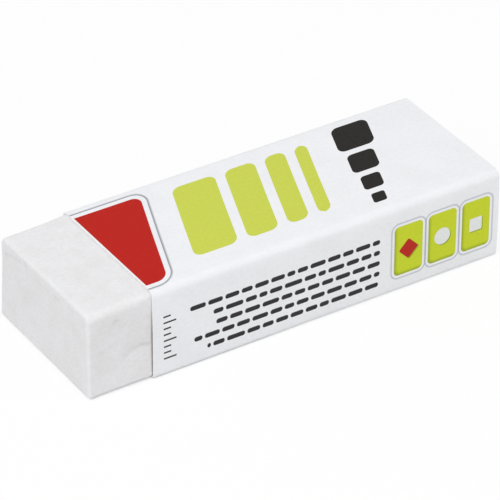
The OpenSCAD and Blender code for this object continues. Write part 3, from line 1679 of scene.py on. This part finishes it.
    def _across(self, places: np.ndarray) -> np.ndarray:
        """Unfolds places on the strip.

        Args:
            places: one row for each point, in millimetres.

        Returns:
            Each point's distance across the blank, from the middle of the top panel.
        """
        y, z = places[:, 1], places[:, 2]
        half, roof = self.high.y, self.high.z
        slack = 0.001
        tab = (np.abs(y - half + self.card) < self.card / 2) & (z > self.bottom_r) & (z < roof - self.top_r)
        on_side = (z < roof - slack) & (np.abs(y) > half - self.top_r) & ~tab
        across = np.where(on_side, np.sign(y) * (half + roof - z - (half - np.abs(y))), y)
        bottom = (z < self.bottom_r) & ~(y > half - self.card / 2)
        across = np.where(bottom, -(2 * half + roof) - y - z * np.sign(y), across)
        return np.where(tab, -(3 * half + roof) - z, across)

    def _relax(self, bench: Workpiece) -> None:
        """Lets the card bow, lean and lift as folded card does.

        Args:
            bench: the folded strip.
        """
        places = bench.places()
        relaxed = self.lean.narrow(places)
        x, y, z = places.T
        start, full = (self.high.y - distance for distance in self.side_band)
        near = smooth_step(-y, start, full)
        rise = np.sin(np.pi * np.clip(z / self.high.z, 0, 1))
        room = self.lean.near * z / self.high.z
        at_mouth = np.exp(-((x - self.low.x) / self.lift_length) ** 2)
        ends = np.minimum(x - self.low.x, self.high.x - x)
        flick = self.burr * (1 - smooth_step(ends, 0.0, self.burr_length))
        standing = rise * (self.bow + self.mouth_lift * at_mouth + self.wave.heights(places) + flick)
        relaxed[:, 1] -= near * np.minimum(standing, room)
        bench.move_to(relaxed)


@dataclass(frozen=True)
class Softbox:
    """A large soft lamp above the eraser.

    Attributes:
        name: the lamp's name.
        toward: the direction in which it hangs, seen from the eraser.
        distance: how far off it hangs, in metres.
        size: the length of its sides, in metres.
        share: its light on a surface that faces it, where 1 shows a white surface as white.
    """

    name: str
    toward: Triple
    distance: float
    size: float
    share: float

    def hang(self) -> None:
        """Adds the lamp and turns it towards the eraser."""
        lamp = bpy.data.lights.new(self.name, "AREA")
        lamp.shape = "SQUARE"
        lamp.size = self.size
        lamp.energy = self.share * (math.pi * self.distance) ** 2
        holder = bpy.data.objects.new(self.name, lamp)
        bpy.context.scene.collection.objects.link(holder)
        way = Vector(self.toward).normalized()
        holder.location = way * self.distance
        holder.rotation_mode = "QUATERNION"
        holder.rotation_quaternion = way.to_track_quat("Z", "Y")


@dataclass(frozen=True)
class ContactShadow:
    """The thin dark line on the table along the eraser's foot: a painted contact shadow.

    Attributes:
        reach: how far it reaches, in millimetres.
        light: the share of the table's light that is left where the table is most covered.
        far_light: the same under the far half of the sleeve, where the painted shadow is made weaker.
        shadow_fade_start: the X, in millimetres, at which the painted shadow starts to weaken.
        shadow_fade_end: the X from which it is that weak.
        covered: the openness at and below which the table is that dark.
        open: the openness from which it isn't darkened.
        open_way: the way towards which the openness is measured, so that no painted shadow shows on that
            side.
        samples: how many rays measure the openness.
    """

    reach: float = 0.8
    light: float = 0.08
    far_light: float = 0.45
    shadow_fade_start: float = -12.0
    shadow_fade_end: float = 4.0
    covered: float = 0.3
    open: float = 0.8
    open_way: Triple = (-0.8, 0.0, 0.6)
    samples: int = 16

    def lay(self, sheet: NodeSheet) -> Socket:
        """Adds the line to the table's material.

        Args:
            sheet: the material's nodes.

        Returns:
            The output with the share of the light that is left, from 0 to 1.
        """
        way = sheet.add("ShaderNodeCombineXYZ", dict(enumerate(self.open_way))).outputs[0]
        inputs = {"Distance": self.reach * MM, "Normal": way}
        openness = sheet.add("ShaderNodeAmbientOcclusion", inputs, samples=self.samples).outputs["AO"]
        along = sheet.add("ShaderNodeSeparateXYZ", {0: sheet.place_mm()}).outputs["X"]
        # Painted contact shadow, made weaker along X under the far half of the sleeve.
        least = sheet.rise(along, self.shadow_fade_start, self.shadow_fade_end, self.light, self.far_light)
        return sheet.rise(openness, self.covered, self.open, least, 1.0)


@dataclass(frozen=True)
class Studio:
    """The white table, the even light round it and the lamps above it.

    Attributes:
        room_light: the even light from all round, on the same scale as a lamp's share.
        floor_size: the length of the table's sides, in metres.
        floor_white: the table's colour, as it lights the eraser.
        floor_glow: how much of the table's picture is plain white, so that it keeps a weak shadow.
        contact: the painted contact shadow along the eraser's foot.
        lamps: the lamps.
    """

    room_light: float = 0.62
    floor_size: float = 4.0
    floor_white: Rgb = (231, 231, 231)
    floor_glow: float = 0.86
    contact: ContactShadow = ContactShadow()
    lamps: tuple[Softbox, ...] = (
        Softbox("key_softbox", (-0.50, -0.36, 0.79), 0.7, 0.45, 0.40),
        Softbox("fold_softbox", (0.46, -0.38, 0.80), 0.8, 0.50, 0.06),
    )

    def build(self) -> None:
        """Lays the table, lights the room and hangs the lamps."""
        self._lay_floor()
        self._light_room()
        for lamp in self.lamps:
            lamp.hang()

    def _lay_floor(self) -> None:
        """Adds the table, which the camera sees as white paper with the eraser's shadow on it."""
        clear_bench()
        bpy.ops.mesh.primitive_plane_add(size=self.floor_size)
        floor = bpy.context.object
        floor.name = "table"
        material, sheet = new_material("white_table")
        rays = sheet.add("ShaderNodeLightPath")
        seen = sheet.calc("ADD", rays.outputs["Is Camera Ray"], rays.outputs["Is Glossy Ray"], clamp=True)
        white = sheet.blend(seen, paint(self.floor_white), PLAIN_WHITE)
        paper = sheet.add("ShaderNodeBsdfDiffuse", {"Color": white})
        glow = sheet.add("ShaderNodeEmission", {"Color": PLAIN_WHITE, "Strength": 1.0})
        plain = sheet.calc("MULTIPLY", seen, self.floor_glow)
        share = sheet.calc("MULTIPLY", plain, self.contact.lay(sheet))
        mixed = sheet.add("ShaderNodeMixShader", {0: share, 1: paper.outputs[0], 2: glow.outputs[0]})
        output = sheet.add("ShaderNodeOutputMaterial")
        sheet.links.new(mixed.outputs[0], output.inputs["Surface"])
        floor.data.materials.append(material)

    def _light_room(self) -> None:
        """Makes the room's light even, and white where it is seen."""
        world = bpy.data.worlds.new("white_room")
        bpy.context.scene.world = world
        world.use_nodes = True
        sheet = NodeSheet(world.node_tree)
        rays = sheet.add("ShaderNodeLightPath")
        seen = sheet.calc("ADD", rays.outputs["Is Camera Ray"], rays.outputs["Is Glossy Ray"])
        seen = sheet.calc("ADD", seen, rays.outputs["Is Transmission Ray"], clamp=True)
        level = sheet.rise(seen, 0.0, 1.0, self.room_light, 1.0)
        room = sheet.add("ShaderNodeBackground", {"Color": PLAIN_WHITE, "Strength": level})
        output = sheet.add("ShaderNodeOutputWorld")
        sheet.links.new(room.outputs[0], output.inputs["Surface"])


@dataclass(frozen=True)
class TableCamera:
    """The camera, in front of the bare end and above it.

    Attributes:
        place: where it stands, in millimetres.
        azimuth_deg: how far it looks to the right of +Y.
        down_deg: how far it looks below the horizon.
        roll_deg: how far it is turned about its own line of sight.
        lens_mm: its focal length on a sensor of sensor_mm.
        sensor_mm: the width of its sensor.
        clip_m: the least and greatest distance at which it sees anything, in metres.
    """

    place: Triple = (-221.595, -333.581, 277.270)
    azimuth_deg: float = 33.569
    down_deg: float = 34.172
    roll_deg: float = 1.120
    lens_mm: float = 266.50
    sensor_mm: float = 36.0
    clip_m: tuple[float, float] = (0.01, 20.0)

    def build(self) -> None:
        """Adds the camera and makes it the scene's own."""
        lens = bpy.data.cameras.new("table_camera")
        lens.lens = self.lens_mm
        lens.sensor_width = self.sensor_mm
        lens.sensor_fit = "HORIZONTAL"
        lens.clip_start, lens.clip_end = self.clip_m
        camera = bpy.data.objects.new("table_camera", lens)
        bpy.context.scene.collection.objects.link(camera)
        azimuth, down, roll = map(math.radians, (self.azimuth_deg, self.down_deg, self.roll_deg))
        level = Vector((math.cos(azimuth), -math.sin(azimuth), 0.0))
        flat = math.cos(down)
        ahead = Vector((math.sin(azimuth) * flat, math.cos(azimuth) * flat, -math.sin(down)))
        upright = level.cross(ahead)
        right = level * math.cos(roll) + upright * math.sin(roll)
        above = upright * math.cos(roll) - level * math.sin(roll)
        turned = Matrix((right, above, -ahead)).transposed()
        camera.matrix_world = Matrix.Translation(Vector(self.place) * MM) @ turned.to_4x4()
        bpy.context.scene.camera = camera


def report(piece: bpy.types.Object) -> None:
    """Says how large a finished piece's mesh is."""
    corners = len(piece.data.loops)
    log.info("%s: %d faces, %d corners", piece.name, len(piece.data.polygons), corners)


def main() -> None:
    """Builds the eraser, then the table, the light and the camera."""
    logging.basicConfig(level=logging.INFO)
    bpy.context.scene.view_settings.view_transform = "Standard"
    TableCamera().build()
    sleeve_low, sleeve_high = (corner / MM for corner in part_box("card_sleeve"))
    lean = Lean(sleeve_high.z, sleeve_high.y)
    report(CardSleeve(sleeve_low, sleeve_high, lean).build())
    report(EraserBlock(sleeve_low.x, lean).build())
    Studio().build()


if __name__ == "__main__":
    main()
